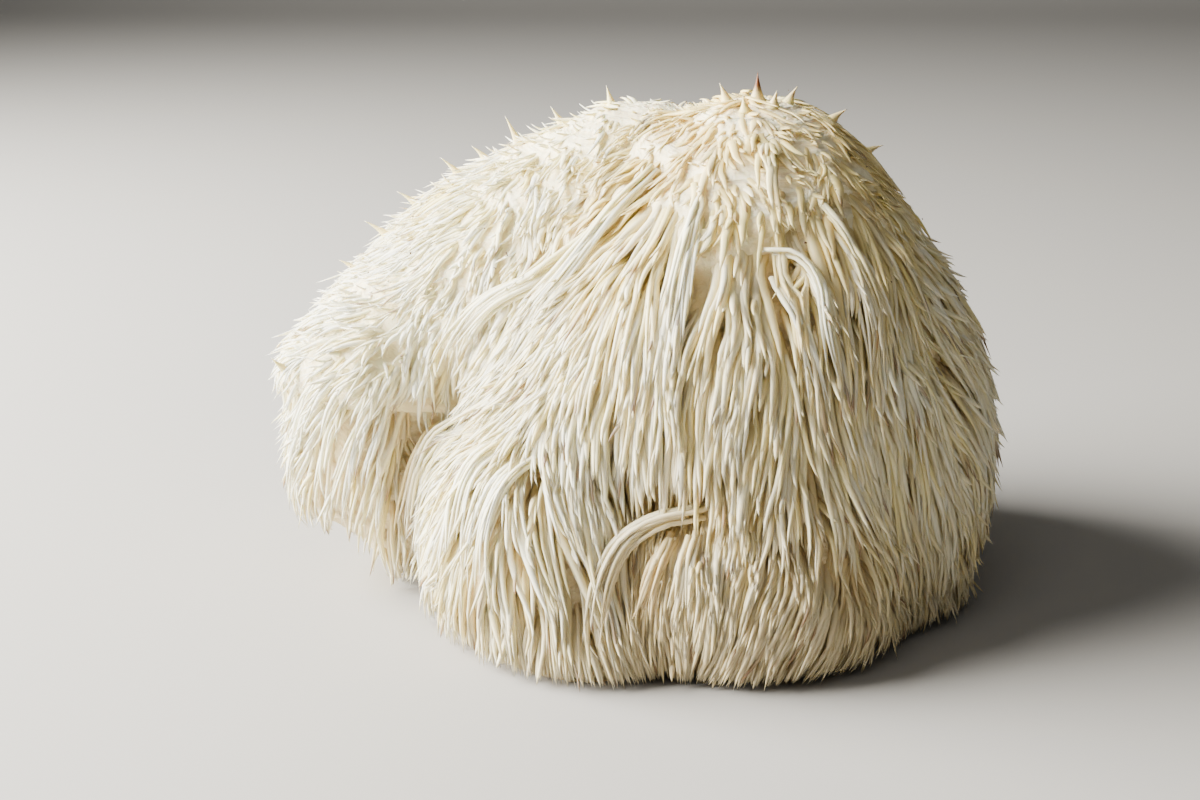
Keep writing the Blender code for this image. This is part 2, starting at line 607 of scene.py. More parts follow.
    def hollow(self, points: np.ndarray) -> tuple[np.ndarray, np.ndarray]:
        """Extra depth, and extra warmth that is painted shade, that the recesses give."""
        depth, warmth = np.zeros(points.shape[:-1]), np.zeros(points.shape[:-1])
        for recess in self.RECESSES:
            local = (points - self.skin.place(recess.seat)) / self.skin.width
            near = np.exp(-((local / np.array(recess.half_size)) ** 2).sum(axis=-1))
            depth, warmth = depth + recess.depth * near, warmth + recess.warmth * near
        return depth, np.minimum(warmth, 0.9)

    def shade(self, points: np.ndarray) -> np.ndarray:
        """Painted shade on the spines, most near the ground and on the side away from the window;
        part of it is the olive tint that the low spines have.
        """
        across, _, height = ((points - self.skin.middle) / self.skin.width).T
        side = 0.15 + 0.85 * ramp(-0.35, 0.10, across) * (1.0 - 0.35 * ramp(0.20, 0.45, across))
        return side * (0.62 * ramp(0.26, 0.03, height) + 0.30 * ramp(0.60, 0.25, height))

    def bed(self, points: np.ndarray, tier: np.ndarray) -> np.ndarray:
        """Depth of the coat's outer layer: a tier starts deep under the ledge above it."""
        deep = self.hollow(points)[0]
        for ledge, number in ((self.HEM, Tier.CURTAIN.value), (self.EDGE, Tier.SKIRT.value)):
            level, step = self.edge(ledge, points)
            start = step * (1.0 - ramp(0.0, ledge.fade, level - points[..., 2]))
            deep = deep + np.where(tier == number, start, 0.0)
        return deep

    def inset(self, points: np.ndarray) -> np.ndarray:
        """How far the flesh lies under the tips: thin on the crown, deep on the flanks."""
        hem, (level, step) = self.below(self.HEM, points), self.edge(self.EDGE, points)
        edge = level - points[..., 2]
        thick = 1.9 * MM + 3.4 * MM * ramp(-4 * MM, 14 * MM, hem)
        under = step * ramp(-3 * MM, 3 * MM, edge) * (1.0 - ramp(3 * MM, 24 * MM, edge))
        return thick + under + self.hollow(points)[0]

    def flow(self, points: np.ndarray, normals: np.ndarray) -> np.ndarray:
        """Direction in which a spine runs on: gravity and the combs, laid along the skin."""
        pull = np.zeros_like(points)
        pull[..., 2] = -1.0
        for comb in self.COMBS:
            apart = np.linalg.norm(points - self.skin.place(comb.seat), axis=-1)
            near = np.exp(-(apart / (comb.reach * self.skin.width)) ** 2)
            pull = pull + near[..., None] * np.array(comb.sweep)
        along = pull - (pull * normals).sum(-1, keepdims=True) * normals
        along = unit(along + 1e-6)
        side = np.cross(normals, along)
        turn = 0.14 * self.swirl.at(points) + 0.07 * self.ripple.at(points)
        return unit(along + side * turn[..., None])

    def upstream(self, points: np.ndarray, length: float) -> np.ndarray:
        """The points carried back against the flow by a length, in eight steps."""
        for _ in range(8):
            normals = self.skin.normal(points)
            points = points - self.flow(points, normals) * (length / 8)
            points = points - normals * self.skin.distance(points)[..., None]
        return points

    def part(self, points: np.ndarray) -> np.ndarray:
        """Push points sideways out of the partings.

        With u and v the offsets across and down over the gap's half sizes, u becomes the root
        of u squared plus the square of 1 minus v squared, so spines pass outside a long lens.
        """
        for seat, side, down, (across, along) in self.gaps:
            local = points - seat
            u, v = local @ side / across, local @ down / along
            near = np.linalg.norm(local, axis=-1) < 2.5 * max(across, along)
            lens = np.clip(1.0 - v * v, 0.0, 1.0)
            wide = np.hypot(u, lens) * np.where(u < 0.0, -1.0, 1.0)
            shift = np.where(near & (np.abs(v) < 1.0), (wide - u) * across, 0.0)
            shift = shift * np.exp(-np.maximum(np.abs(u) - 1.0, 0.0))
            points = points + shift[..., None] * side
        return points

    def bare(self, points: np.ndarray) -> np.ndarray:
        """1 inside the partings, where nothing grows, and 0 outside."""
        inside = np.zeros(points.shape[:-1])
        for seat, side, down, (across, along) in self.gaps:
            local = points - seat
            u, v = local @ side / across, local @ down / along
            near = np.linalg.norm(local, axis=-1) < 1.6 * max(across, along)
            inside = np.maximum(inside, near * ramp(1.3, 0.7, np.hypot(u, v)))
        return inside


@dataclass(frozen=True)
class Habit:
    """How single spines grow; lengths in metres."""

    length: float
    radius: float
    rise: float          # how far the tips stand out past the outline
    wild: float          # how much single spines stray from the flow
    tip: float           # width of the spine before its tip, as a share of its root
    point: float         # how late the tip closes: small is a long point, large a blunt end
    short: float         # share of the spines that are half as long and lie on top
    bundle: int          # spines that leave the flesh as one strap
    fused: float         # how closely they are drawn together at their roots
    flat: float          # thickness of the spine over its width
    sides: int
    rings: int


MAT = Habit(15 * MM, 1.15 * MM, 0.1 * MM, 0.26, 0.40, 4.0, 0.45, 8, 0.85, 0.40, 6, 6)
RIDGE = Habit(14 * MM, 0.95 * MM, 0.8 * MM, 0.24, 0.50, 2.4, 0.4, 5, 0.65, 0.60, 6, 6)
FUZZ = Habit(14 * MM, 0.90 * MM, 0.6 * MM, 0.24, 0.50, 2.4, 0.4, 5, 0.65, 0.60, 5, 6)
DRAPE = Habit(38 * MM, 1.15 * MM, 0.9 * MM, 0.07, 0.42, 5.0, 0.40, 6, 0.75, 0.70, 6, 9)
FLANK = Habit(28 * MM, 1.05 * MM, 0.8 * MM, 0.09, 0.45, 5.0, 0.35, 5, 0.65, 0.75, 5, 7)
BACK_DRAPE = Habit(40 * MM, 1.25 * MM, 0.8 * MM, 0.10, 0.45, 5.0, 0.30, 5, 0.70, 0.75, 5, 7)
FRINGE = Habit(24 * MM, 0.85 * MM, 0.8 * MM, 0.12, 0.45, 4.0, 0.35, 5, 0.60, 0.75, 4, 7)
STRAPPED = Habit(36 * MM, 1.15 * MM, 0.7 * MM, 0.09, 0.36, 4.0, 0.40, 7, 0.80, 0.65, 5, 9)
COMBED = Habit(30 * MM, 1.10 * MM, 0.6 * MM, 0.08, 0.42, 4.0, 0.40, 5, 0.65, 0.70, 5, 8)
SPLAYED = Habit(26 * MM, 0.90 * MM, 0.9 * MM, 0.12, 0.45, 4.0, 0.35, 5, 0.60, 0.75, 4, 8)
BACK_SKIRT = Habit(32 * MM, 1.05 * MM, 0.7 * MM, 0.10, 0.45, 4.0, 0.35, 5, 0.55, 0.80, 4, 7)


@dataclass(frozen=True)
class District:
    """One part of the coat.

    The seat is in shares of the width, and a spine belongs to the district of its tier whose
    seat is nearest.
    """

    name: str
    tier: Tier
    seat: Triple
    count: int
    habit: Habit
    warmth: float        # from 0 for white to 1 for honey
    tone: float          # from 0 for ivory to 1 for cream


BLEND = 24 * MM          # reach over which one district colour fades into the next
DISTRICTS = (
    District("crown", Tier.CROWN, (0.15, -0.04, 0.66), 1150, MAT, 0.42, 1.00),
    District("rear_ridge", Tier.CROWN, (-0.14, 0.12, 0.58), 1150, RIDGE, 0.03, 0.30),
    District("left_shelf", Tier.CROWN, (-0.38, 0.00, 0.40), 1150, FUZZ, 0.0, 0.12),
    District("front_left_curtain", Tier.CURTAIN, (-0.17, -0.18, 0.40), 680, DRAPE, 0.0, 0.30),
    District("front_curtain", Tier.CURTAIN, (0.08, -0.28, 0.38), 800, DRAPE, 0.18, 0.55),
    District("right_curtain", Tier.CURTAIN, (0.38, -0.12, 0.32), 1200, FLANK, 0.06, 0.35),
    District("back_right_curtain", Tier.CURTAIN, (0.28, 0.28, 0.35), 600, BACK_DRAPE, 0.12, 0.5),
    District("back_left_curtain", Tier.CURTAIN, (-0.12, 0.33, 0.35), 550, BACK_DRAPE, 0.12, 0.5),
    District("left_fringe", Tier.SKIRT, (-0.42, -0.02, 0.15), 1200, FRINGE, 0.0, 0.20),
    District("left_skirt", Tier.SKIRT, (-0.16, -0.30, 0.13), 1000, STRAPPED, 0.04, 0.40),
    District("front_skirt", Tier.SKIRT, (0.13, -0.36, 0.10), 1150, COMBED, 0.42, 0.75),
    District("right_skirt", Tier.SKIRT, (0.40, -0.12, 0.08), 1200, SPLAYED, 0.24, 0.70),
    District("back_skirt", Tier.SKIRT, (0.10, 0.36, 0.10), 900, BACK_SKIRT, 0.18, 0.5),
)


@dataclass(frozen=True)
class Tress:
    """A strap of fused spines with a course of its own, proud of the coat."""

    seats: tuple[Triple, ...]
    width: float
    strands: int
    warmth: float = 0.0


TRESS_HABIT = Habit(0.0, 0.95 * MM, 0.0, 0.0, 0.45, 4.0, 0.0, 1, 0.0, 0.7, 6, 12)
TRESSES = (
    Tress(((0.01, -0.09, 0.60), (-0.055, -0.14, 0.527), (-0.105, -0.158, 0.468),
           (-0.156, -0.154, 0.408), (-0.20, -0.15, 0.33)), 4.5 * MM, 12),
    Tress(((-0.06, -0.12, 0.53), (-0.137, -0.135, 0.462), (-0.202, -0.12, 0.419),
           (-0.249, -0.113, 0.364), (-0.28, -0.11, 0.30)), 4.5 * MM, 12),
    Tress(((0.20, -0.15, 0.59), (0.25, -0.19, 0.519), (0.287, -0.216, 0.45),
           (0.307, -0.245, 0.36)), 4.0 * MM, 9, 0.15),
    Tress(((0.140, -0.222, 0.520), (0.182, -0.219, 0.512), (0.208, -0.230, 0.483),
           (0.219, -0.260, 0.425), (0.230, -0.283, 0.350)), 2.4 * MM, 7),
    Tress(((0.150, -0.230, 0.515), (0.165, -0.245, 0.470), (0.184, -0.262, 0.438),
           (0.202, -0.282, 0.381), (0.211, -0.294, 0.325)), 2.5 * MM, 6),
    Tress(((0.225, -0.160, 0.56), (0.259, -0.208, 0.486), (0.279, -0.238, 0.419),
           (0.291, -0.261, 0.34)), 3.5 * MM, 7, 0.2),
    Tress(((0.075, -0.15, 0.59), (0.054, -0.207, 0.523), (0.041, -0.241, 0.469),
           (0.030, -0.265, 0.40)), 4.0 * MM, 8),
    Tress(((-0.17, -0.235, 0.290), (-0.200, -0.250, 0.268), (-0.220, -0.256, 0.235),
           (-0.236, -0.274, 0.180), (-0.241, -0.284, 0.11)), 5.5 * MM, 12),
    Tress(((-0.235, -0.13, 0.285), (-0.262, -0.125, 0.262), (-0.286, -0.119, 0.221),
           (-0.304, -0.13, 0.155), (-0.316, -0.126, 0.08)), 5.0 * MM, 12),
    Tress(((-0.125, -0.268, 0.285), (-0.155, -0.279, 0.265), (-0.182, -0.288, 0.232),
           (-0.201, -0.303, 0.184), (-0.208, -0.314, 0.10)), 5.0 * MM, 12),
)
ARCH = (
    Tress(((0.075, -0.330, 0.222), (0.055, -0.333, 0.216), (0.029, -0.328, 0.211),
           (-0.001, -0.325, 0.197), (-0.031, -0.331, 0.174), (-0.049, -0.34, 0.139),
           (-0.059, -0.344, 0.092), (-0.065, -0.338, 0.03)), 4.2 * MM, 14),
    Tress(((0.060, -0.333, 0.220), (0.053, -0.347, 0.183), (0.047, -0.359, 0.143),
           (0.041, -0.364, 0.08)), 3.6 * MM, 9, 0.25),
    Tress(((0.030, -0.333, 0.206), (0.017, -0.344, 0.162), (0.005, -0.349, 0.125),
           (-0.006, -0.348, 0.07)), 3.4 * MM, 9, 0.45),
)


@dataclass(frozen=True)
class Horn:
    """A stout pointed tooth that stands up out of the mat."""

    seat: Triple
    height: float
    radius: float
    lean: Triple
    dryness: float = 0.2


HORNS = (
    Horn((0.147, -0.030, 0.680), 5.5 * MM, 2.4 * MM, (0.0, 0.0, 1.0), 1.0),
    Horn((0.108, -0.020, 0.668), 3.8 * MM, 2.2 * MM, (-0.5, 0.0, 0.8), 0.2),
    Horn((0.128, -0.060, 0.668), 2.4 * MM, 1.8 * MM, (-0.2, -0.3, 0.8), 0.1),
    Horn((0.167, -0.050, 0.670), 2.6 * MM, 2.0 * MM, (0.2, -0.2, 0.8), 0.4),
    Horn((0.190, -0.020, 0.668), 3.2 * MM, 1.8 * MM, (0.6, 0.0, 0.6), 0.5),
    Horn((-0.173, 0.125, 0.598), 7.5 * MM, 1.8 * MM, (-0.5, 0.0, 0.9), 0.1),
    Horn((-0.110, 0.116, 0.620), 4.5 * MM, 1.8 * MM, (-0.6, 0.0, 0.7), 0.1),
    Horn((-0.215, 0.120, 0.568), 4.5 * MM, 1.8 * MM, (-0.9, 0.0, 0.4), 0.1),
    Horn((-0.250, 0.118, 0.541), 6.0 * MM, 1.8 * MM, (-0.9, 0.0, 0.5), 0.1),
    Horn((-0.307, 0.110, 0.500), 6.0 * MM, 1.8 * MM, (-1.0, 0.0, 0.3), 0.1),
    Horn((-0.356, 0.108, 0.463), 6.5 * MM, 1.8 * MM, (-1.0, 0.0, 0.4), 0.1),
    Horn((-0.401, 0.067, 0.430), 4.5 * MM, 1.8 * MM, (-1.0, 0.0, 0.2), 0.1),
    Horn((-0.040, 0.110, 0.645), 4.0 * MM, 1.8 * MM, (-0.3, 0.0, 0.9), 0.1),
    Horn((0.250, 0.000, 0.640), 4.0 * MM, 2.2 * MM, (0.9, 0.0, 0.3), 0.4),
    Horn((0.300, 0.000, 0.600), 4.0 * MM, 2.2 * MM, (0.9, 0.0, 0.0), 0.5),
    Horn((-0.480, -0.062, 0.318), 3.5 * MM, 1.8 * MM, (-0.6, 0.0, 0.9), 0.1),
)
DRY_HAIR = ((0.045, -0.110, 0.625),)
DUST_CRUMBS = 26
DUST_REACH = ((-0.42, 0.30), (-0.2, 0.1), (0.40, 0.66))     # across, deep and high, in widths
CRUMB_LENGTH = (0.3, 0.8)                                   # mm
CRUMB_SIZE = (0.8, 1.8)                                     # against the habit
DUST_HABIT = Habit(0.0, 0.17 * MM, 0.0, 0.0, 0.7, 3.0, 0.0, 1, 0.0, 0.8, 5, 8)
HORN_HABIT = Habit(0.0, 1.0 * MM, 0.0, 0.0, 0.12, 0.6, 0.0, 1, 0.0, 1.0, 8, 8)


class Flesh:
    """The flesh under the spines, with the flat cut that it stands on."""

    AROUND = 240
    DOWN = 104
    UNDER = 12

    def __init__(self, growth: Growth) -> None:
        """Args:
            growth: rules of growth, with the outline.
        """
        self.growth = growth
        self.skin = growth.skin
        self.hub = self.skin.place((0.06, 0.0, 0.24))
        self.turn = np.linspace(0.0, math.tau, self.AROUND, endpoint=False)
        self.rim = self._rim()
        self.grid = self._grid()

    def _reach(self, start: np.ndarray, way: np.ndarray) -> np.ndarray:
        """Outermost point along each ray that lies at the flesh's depth.

        The ray is followed inwards from far outside by its remaining distance, which is the
        usual sphere tracing run backwards.
        """
        far = np.full(way.shape[:-1], 0.75 * self.skin.width)
        for _ in range(45):
            points = start + way * far[..., None]
            gap = self.skin.distance(points) + self.growth.inset(points)
            far = np.maximum(far - 0.8 * gap, 0.0)
        return start + way * far[..., None]

    def _rim(self) -> np.ndarray:
        """Edge of the cut face: rays in the plane of the cut, from its middle."""
        level = self.hub * np.array([1.0, 1.0, 0.0])
        level[2] = self.skin.middle[2]
        way = np.stack((np.cos(self.turn), np.sin(self.turn), 0.0 * self.turn), axis=-1)
        return self._reach(level, way)

    def _grid(self) -> np.ndarray:
        """Points of the skin: the polar angle runs from the pole to the rim of the cut."""
        out = self.rim - self.hub
        flat = np.hypot(out[:, 0], out[:, 1])
        last = np.arctan2(flat, out[:, 2])
        share = np.linspace(0.0, 1.0, self.DOWN)[:, None]
        polar = share * last[None, :]
        way = np.stack((np.sin(polar) * np.cos(self.turn), np.sin(polar) * np.sin(self.turn),
                        np.cos(polar)), axis=-1)
        grid = self._reach(self.hub, way)
        grid[-1] = self.rim
        return grid

    def piece(self) -> bpy.types.Object:
        """The closed flesh: streaked skin rows, then rows that close the cut face."""
        grid = self.grid.copy()
        normals = self.skin.normal(grid)
        comb = self.growth.upstream(grid, 26 * MM)
        lumps = 0.40 * MM * self.growth.ridges.at(comb) + 0.2 * MM * self.growth.tufts.at(grid)
        fade = 1.0 - np.linspace(0.0, 1.0, self.DOWN)[:, None] ** 12
        grid = grid + normals * (lumps * fade)[..., None]
        middle = self.rim.mean(axis=0)
        shares = np.linspace(1.0, 0.0, self.UNDER + 1)[1:-1]
        under = [middle + (self.rim - middle) * share for share in shares]
        rows = np.concatenate((grid[1:], np.array(under)))
        pole = grid[0].mean(axis=0)
        points = np.concatenate((pole[None], rows.reshape(-1, 3), middle[None]))
        lay = np.concatenate((comb[:1, 0], comb[1:].reshape(-1, 3), points[1 + grid[1:].size // 3:]))
        count, around = len(rows), self.AROUND
        first = 1 + np.arange(around)
        after = np.roll(first, -1)
        top = np.stack((np.zeros(around, int), first, after), axis=-1)
        lift = np.arange(count - 1)[:, None] * around
        quads = np.stack((first + lift, first + lift + around, after + lift + around,
                          after + lift), axis=-1).reshape(-1, 4)
        low = (count - 1) * around
        end = len(points) - 1
        bottom = np.stack((first + low, np.full(around, end), after + low), axis=-1)
        corners = np.concatenate((top.ravel(), quads.ravel(), bottom.ravel()))
        sizes = np.concatenate((np.full(around, 3), np.full(len(quads), 4),
                                np.full(around, 3)))
        cut = np.zeros(len(points))
        cut[1 + (self.DOWN - 2) * around:] = 1.0
        # painted shade: the deeper the flesh lies under the tips, and in the hollows, the more tan
        # it is
        deep = 0.45 * ramp(2 * MM, 7 * MM, self.growth.inset(points))
        deep = np.minimum(deep + self.growth.hollow(points)[1], 1.0) * (1.0 - cut)
        marks = {"cut": cut, "depth": deep, "comb_x": lay[:, 0], "comb_y": lay[:, 1],
                 "comb_z": lay[:, 2]}
        made = MeshMaker.piece("flesh", points, corners, sizes, marks)
        made.data.materials.append(FleshFinish().material())
        return made

    def roots(self, chosen: np.ndarray, count: int,
              rng: np.random.Generator) -> np.ndarray:
        """Scatter roots evenly by area over the chosen cells of the skin.

        Args:
            chosen: weight of each cell, shape (rows - 1, around).
            count: number of roots.
            rng: seeded random source.

        Returns:
            Points on the skin, shape (count, 3).
        """
        grid = self.grid
        right = np.roll(grid, -1, axis=1)
        across, down = right[:-1] - grid[:-1], grid[1:] - grid[:-1]
        area = np.linalg.norm(np.cross(across, down), axis=-1) * chosen
        total = np.cumsum(area.ravel())
        picks = (np.arange(count) + rng.uniform(0.0, 1.0, count)) / count * total[-1]
        cell = np.minimum(np.searchsorted(total, picks), area.size - 1)
        row, column = np.divmod(cell, self.AROUND)
        u, v = rng.uniform(0.0, 1.0, (2, count, 1))
        return grid[row, column] + across[row, column] * u + down[row, column] * v


@dataclass(frozen=True)
class Traits:
    """What differs from spine to spine: its size against the habit, and its colours."""

    size: np.ndarray
    tone: np.ndarray
    warmth: np.ndarray
    dryness: np.ndarray


class Coat:
    """All the spines: one district after the other, then the straps and the teeth."""

    STEPS = 18

    def __init__(self, growth: Growth, flesh: Flesh) -> None:
        """Args:
            growth: rules of growth.
            flesh: flesh that the spines stand on.
        """
        self.growth = growth
        self.skin = growth.skin
        self.flesh = flesh
        self.finish = SpineFinish().material()
        middles = 0.25 * (flesh.grid[:-1] + flesh.grid[1:]
                          + np.roll(flesh.grid, -1, axis=1)[:-1]
                          + np.roll(flesh.grid, -1, axis=1)[1:])
        self.owner = self._owner(middles)
        self.bare = growth.bare(middles)
        self.thick = (1.0 + 1.2 * ramp(8 * MM, -4 * MM, growth.below(growth.EDGE, middles))
                      + 1.0 * ramp(6 * MM, 0.0, np.abs(growth.below(growth.HEM, middles))))

    def _owner(self, points: np.ndarray) -> np.ndarray:
        """Number of the district that each point belongs to, with ragged borders."""
        stray = 4 * MM * self.growth.swirl.at(points)
        tier = self.growth.tier(points)
        apart = [np.linalg.norm(points - self.skin.place(d.seat), axis=-1) + stray * (-1) ** k
                 + 10.0 * (tier != d.tier.value) for k, d in enumerate(DISTRICTS)]
        return np.argmin(np.stack(apart), axis=0)

    def _moods(self, points: np.ndarray) -> tuple[np.ndarray, np.ndarray]:
        """Tone and warmth at each point, blended from one district into the next.

        Args:
            points: places, shape (n, 3), in metres.

        Returns:
            Tone and warmth, each of shape (n,).
        """
        apart = np.stack([np.linalg.norm(points - self.skin.place(d.seat), axis=-1)
                          for d in DISTRICTS])
        near = np.exp((apart.min(axis=0) ** 2 - apart ** 2) / (2.0 * BLEND ** 2))
        near = near / near.sum(axis=0)
        tone = np.array([d.tone for d in DISTRICTS]) @ near
        return tone, np.array([d.warmth for d in DISTRICTS]) @ near

    def piece(self, number: int) -> bpy.types.Object:
        """Grow one district's spines and join them in one mesh."""
        district = DISTRICTS[number]
        rng = np.random.default_rng(100 + number)
        weight = (self.owner == number) * (1.0 - self.bare) * self.thick
        roots = self.flesh.roots(weight, district.count, rng)
        paths, normals, strap = self._paths(district, roots, rng)
        tone, warmth = self._moods(roots)
        traits = Traits(
            size=np.exp(rng.normal(0.0, 0.20, len(roots))),
            tone=np.clip(tone + 0.20 * strap + rng.normal(0.0, 0.18, len(roots)), 0.0, 1.0),
            warmth=warmth + rng.normal(0.0, 0.05, len(roots)),
            dryness=np.where(rng.uniform(size=len(roots)) < 0.05, 0.8, 0.12))
        return self._tubes(f"spines_{district.name}", district.habit, paths, normals, traits)

    def tresses(self, name: str, tresses: tuple[Tress, ...]) -> bpy.types.Object:
        """Lay straps along their own courses, each one fused at its root and frayed at its end."""
        rng = np.random.default_rng(300 + len(tresses))
        paths, faces, warmth = [], [], []
        share = np.linspace(0.0, 1.0, self.STEPS + 1)
        for tress in tresses:
            seats = np.array([self.skin.place(seat) for seat in tress.seats])
            course = self._smooth(seats, share)
            normal = self.skin.normal(course)
            side = np.cross(normal, unit(np.gradient(course, axis=0)))
            for strand in rng.permutation(np.linspace(-0.5, 0.5, tress.strands)):
                spread = tress.width * strand * (0.6 + 1.3 * share**1.5)
                wave = rng.normal(0.0, 0.8) * MM * np.sin(math.tau * (share + rng.uniform()))
                line = course + side * (spread + wave * share)[:, None]
                start, end = rng.uniform(0.0, 0.30), rng.uniform(0.62, 1.0)
                proud = 0.6 * MM * (1.0 - 3.0 * strand**2) + rng.normal(0.0, 0.4) * MM
                depth = 3.0 * MM * (1.0 - ramp(start, start + 0.25, share)) - proud
                line = self.skin.settle(line, depth)
                spot = (start + (end - start) * share) * self.STEPS
                first = np.minimum(spot.astype(int), self.STEPS - 1)
                part = (spot - first)[:, None]
                paths.append(line[first] * (1.0 - part) + line[first + 1] * part)
                faces.append(normal)
                warmth.append(tress.warmth)
        paths, faces = self._rings(np.array(paths), np.array(faces), TRESS_HABIT)
        n = len(paths)
        traits = Traits(size=rng.uniform(0.6, 1.05, n), tone=rng.uniform(0.0, 0.6, n),
                        warmth=np.array(warmth), dryness=np.full(n, 0.15))
        return self._tubes(name, TRESS_HABIT, paths, faces, traits)

    def horns(self) -> bpy.types.Object:
        """Stand the stout teeth on the summit, the ridge and the left rim."""
        share = np.linspace(0.0, 1.0, HORN_HABIT.rings + 1)[:, None]
        paths, faces = [], []
        for horn in HORNS:
            seat = self.skin.settle(self.skin.place(horn.seat)[None], np.array([2.0 * MM]))
            way = unit(self.skin.normal(seat) * (1.0 - 0.6 * share) + np.array(horn.lean) * share)
            steps = way * (horn.height + 2.0 * MM) / HORN_HABIT.rings
            paths.append(seat + np.cumsum(steps, axis=0) - steps[0])
            faces.append(np.broadcast_to((0.0, -1.0, 0.0), way.shape))
        traits = Traits(size=np.array([horn.radius / HORN_HABIT.radius for horn in HORNS]),
                        tone=np.full(len(HORNS), 0.8), warmth=np.full(len(HORNS), 0.08),
                        dryness=np.array([horn.dryness for horn in HORNS]))
        made = self._tubes("horns", HORN_HABIT, np.array(paths), np.array(faces), traits)
        made.data.materials[0] = HORN_FINISH.material()
        return made

    def dust(self) -> bpy.types.Object:
        """Scatter a few crumbs of bark over the mat, and lay one dry hair by the summit."""
        rng = np.random.default_rng(400)
        seats = np.stack([rng.uniform(*reach, DUST_CRUMBS) for reach in DUST_REACH], axis=-1)
        seats = np.concatenate((DRY_HAIR, seats))
        spans = np.concatenate(([5.0], rng.uniform(*CRUMB_LENGTH, DUST_CRUMBS))) * MM
        share = np.linspace(0.0, 1.0, DUST_HABIT.rings + 1)
        start = self.skin.middle + self.skin.width * seats
        way = unit(rng.normal(size=(len(seats), 1, 3)))
        way[0] = (0.93, 0.0, -0.36)
        paths = start[:, None] + way * (spans[:, None] * share)[..., None]
        paths[0, :, 2] += 0.7 * MM * np.sin(math.tau * share)
        paths = self.skin.settle(paths, np.full(paths.shape[:2], -0.7 * MM))
        size = np.concatenate(([0.6], rng.uniform(*CRUMB_SIZE, DUST_CRUMBS)))
        zero = np.zeros(len(seats))
        made = self._tubes("bark_dust", DUST_HABIT, paths, self.skin.normal(paths),
                           Traits(size, zero, zero, zero))
        made.data.materials[0] = DustFinish().material()
        return made

    @staticmethod
    def _smooth(seats: np.ndarray, share: np.ndarray) -> np.ndarray:
        """Points on a smooth curve through the seats: cubic pieces with shared slopes."""
        run = np.concatenate(([0.0], np.cumsum(np.linalg.norm(np.diff(seats, axis=0), axis=1))))
        slope = np.gradient(seats, run, axis=0)
        spot = share * run[-1]
        k = np.clip(np.searchsorted(run, spot, side="right") - 1, 0, len(run) - 2)
        gap = (run[k + 1] - run[k])[:, None]
        t = ((spot - run[k])[:, None]) / gap
        near, far = seats[k], seats[k + 1]
        return ((1 + 2 * t) * (1 - t)**2 * near + t * (1 - t)**2 * gap * slope[k]
                + t**2 * (3 - 2 * t) * far + t**2 * (t - 1) * gap * slope[k + 1])

    def _stops(self, district: District, roots: np.ndarray,
               rng: np.random.Generator) -> np.ndarray:
        """Height at which each spine ends: most of a tier reach its ledge, none the ground."""
        n, width = len(roots), self.skin.width
        floor = self.skin.middle[2] + rng.uniform(0.4, 1.8, n) * MM
        hung = 0.080 * width * ramp(0.345, 0.385, -roots[:, 0] / width)
        floor = floor + np.where(hung > 0.0, hung + rng.normal(0.0, 2.5, n) * MM, 0.0)
        if district.tier is Tier.SKIRT:
            return floor
        ledge = Growth.HEM if district.tier is Tier.CROWN else Growth.EDGE
        spare = rng.normal(-2.0, 3.5, n) * MM
        return np.maximum(self.growth.edge(ledge, roots)[0] + spare, floor)

    def _guides(self, habit: Habit, roots: np.ndarray, rng: np.random.Generator) -> np.ndarray:
        """Number of the spine whose strap each spine joins: the nearest, along the flow."""
        chosen = rng.choice(len(roots), len(roots) // habit.bundle, replace=False)
        down = self.growth.flow(roots, self.skin.normal(roots))
        apart = roots[:, None] - roots[None, chosen]
        lengthwise = (apart * down[:, None]).sum(axis=-1)
        gap = (apart**2).sum(axis=-1) - 0.85 * lengthwise**2
        return chosen[np.argmin(gap, axis=1)]

    def _paths(self, district: District, roots: np.ndarray,
               rng: np.random.Generator) -> tuple[np.ndarray, np.ndarray, np.ndarray]:
        """Middle line of each spine.

        A spine leaves its root and runs with the flow in equal steps.  After every step it is
        set to its depth under the outline, which eases from the flesh to the bed of its tier
        and ends a little outside.  It is cut off where it would pass its ledge or the ground.

        Args:
            district: where the spines grow, and their habit.
            roots: where they start, shape (n, 3).
            rng: seeded random source.

        Returns:
            Points and outward normals, both of shape (n, rings + 1, 3), and a random number
            that the spines of one strap share.
        """
        n, habit = len(roots), district.habit
        guide = self._guides(habit, roots, rng)
        shared, own = rng.normal(size=(4, n))[:, guide], rng.normal(size=(4, n))
        length = habit.length * np.exp(0.16 * shared[0] + 0.20 * own[0])
        short = rng.uniform(size=n) < habit.short
        length = np.where(short, 0.5 * length, length)
        start = self.growth.inset(roots) + 1.5 * MM
        fold = self.growth.folds.at(self.growth.upstream(roots, 40 * MM))
        layer = (1.6 + 1.1 * shared[1] + 0.5 * own[1] + 0.7 * fold) * MM
        layer = np.clip(layer, 0.0, 4.5 * MM)
        layer = np.where(short, 0.35 * layer, layer)
        rise = np.minimum(habit.rise * np.exp(0.8 * own[2]), 3.5 * MM)
        stray = habit.wild * (0.6 * shared[2] + 0.8 * own[3])
        bend = habit.wild * rng.normal(0.0, 0.7, n)
        sway = 0.9 * habit.wild * rng.uniform(0.3, 1.0, n)
        beat = rng.uniform(0.6, 1.6, n), rng.uniform(0.0, 1.0, n)
        tier = np.full(n, district.tier.value)
        point = self.skin.settle(roots, start)
        path, faces = [point], [self.skin.normal(point)]
        for step in range(1, self.STEPS + 1):
            share = step / self.STEPS
            normal = faces[-1]
            way = self.growth.flow(point, normal)
            side = np.cross(normal, way)
            lean = stray * (1.0 - share) + bend * share
            lean = lean + sway * np.sin(math.tau * (beat[0] * share + beat[1]))
            way = unit(way + side * lean[:, None])
            point = point + way * (length / self.STEPS)[:, None]
            normal = self.skin.normal(point)
